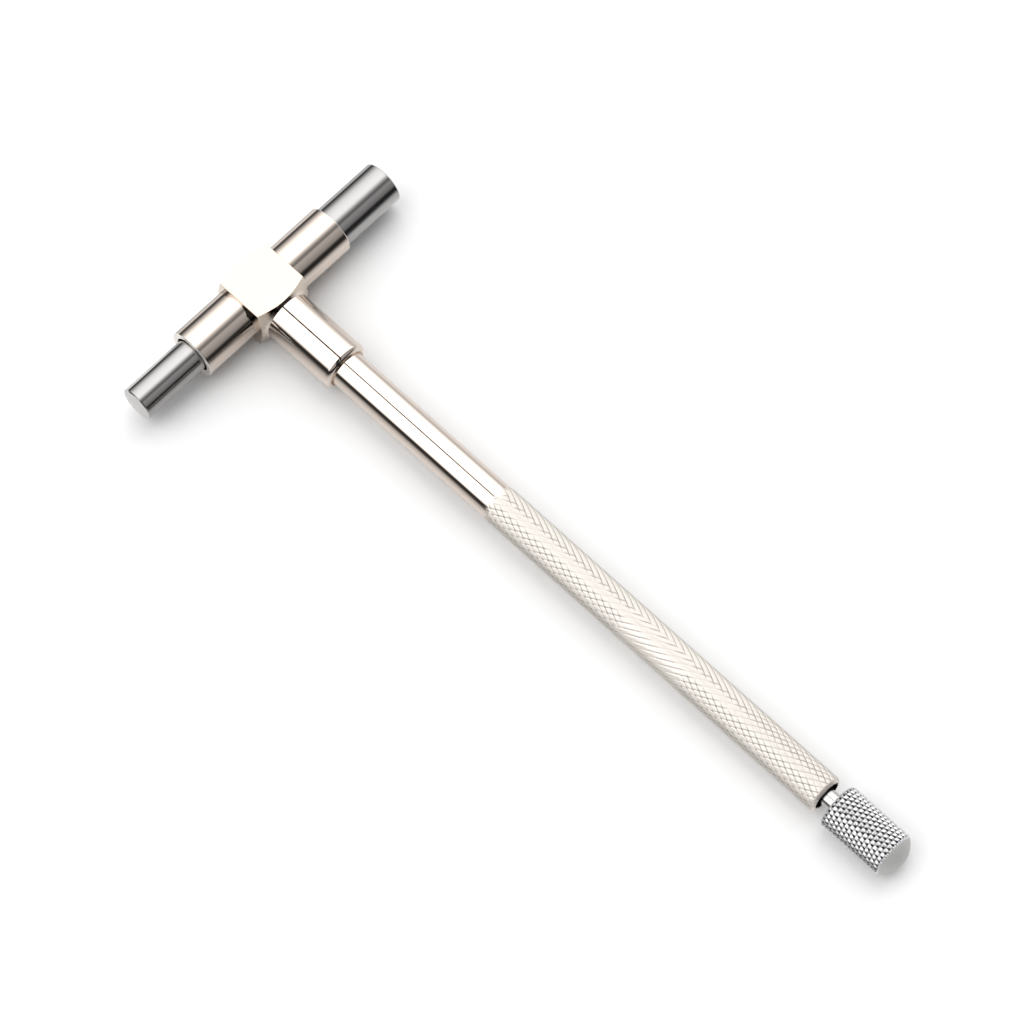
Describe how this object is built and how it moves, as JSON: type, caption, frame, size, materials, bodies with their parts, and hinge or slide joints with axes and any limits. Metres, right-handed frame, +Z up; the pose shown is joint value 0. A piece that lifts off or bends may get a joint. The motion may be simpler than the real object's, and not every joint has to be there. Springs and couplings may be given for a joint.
{
  "type": "telescoping bore gauge",
  "caption": "T-shaped telescoping gauge: two sprung plungers in a cross barrel, long knurled handle and a knurled knob that locks them.",
  "frame": {"origin": "centre of the square head block's underside, directly below the crossing of the plunger and handle axes", "axes": "+X along the plungers toward the large plunger, -Y along the handle toward the knob, +Z up from the surface the gauge lies on"},
  "size_m": [0.0552, 0.1409, 0.0095],
  "materials": {
    "nickel_plate": "bright warm nickel plate",
    "nickel_knurl": "bright nickel plate over a diamond knurl",
    "ground_steel": "fine ground, satin",
    "knob_steel": "satin, diamond knurl, matte domed end",
    "turned_steel": "turned, lightly oiled",
    "bush_brass": "turned",
    "spring_wire": "drawn spring wire"
  },
  "bodies": {
    "gauge_body": {"head_block": "nickel_plate", "head_barrel": "nickel_plate", "handle_tube": "nickel_knurl", "thread_bush": "turned_steel", "rod_guide_bush": "bush_brass", "large_spring": "spring_wire", "small_spring": "spring_wire"},
    "large_plunger": {"large_plunger": "ground_steel"},
    "small_plunger": {"small_plunger": "ground_steel"},
    "push_train": {"push_rod": "turned_steel", "lock_shoe": "turned_steel"},
    "screw_and_knob": {"lock_screw": "turned_steel", "lock_knob": "knob_steel"}
  },
  "joints": [
    {"name": "large_plunger_slide", "type": "slide", "parent": "gauge_body", "child": "large_plunger", "axis": [1, 0, 0], "range_m": [-0.0117, 0], "stiffness_N_per_m": 60, "springref_m": 0.012, "deforming": ["large_spring"]},
    {"name": "small_plunger_slide", "type": "slide", "parent": "gauge_body", "child": "small_plunger", "axis": [-1, 0, 0], "range_m": [-0.0117, 0], "stiffness_N_per_m": 60, "springref_m": 0.012, "deforming": ["small_spring"]},
    {"name": "push_rod_slide", "type": "slide", "parent": "gauge_body", "child": "push_train", "axis": [0, 1, 0], "range_m": [0, 0.0005]},
    {"name": "knob_turn", "type": "hinge", "parent": "push_train", "child": "screw_and_knob", "pos_m": [0, -0.1229, 0.00475], "axis": [0, 1, 0], "range_deg": [0, 360]}
  ],
  "couplings": [
    {"joint": "knob_turn", "follows": "push_rod_slide", "rad_per_m": 12566}
  ]
}
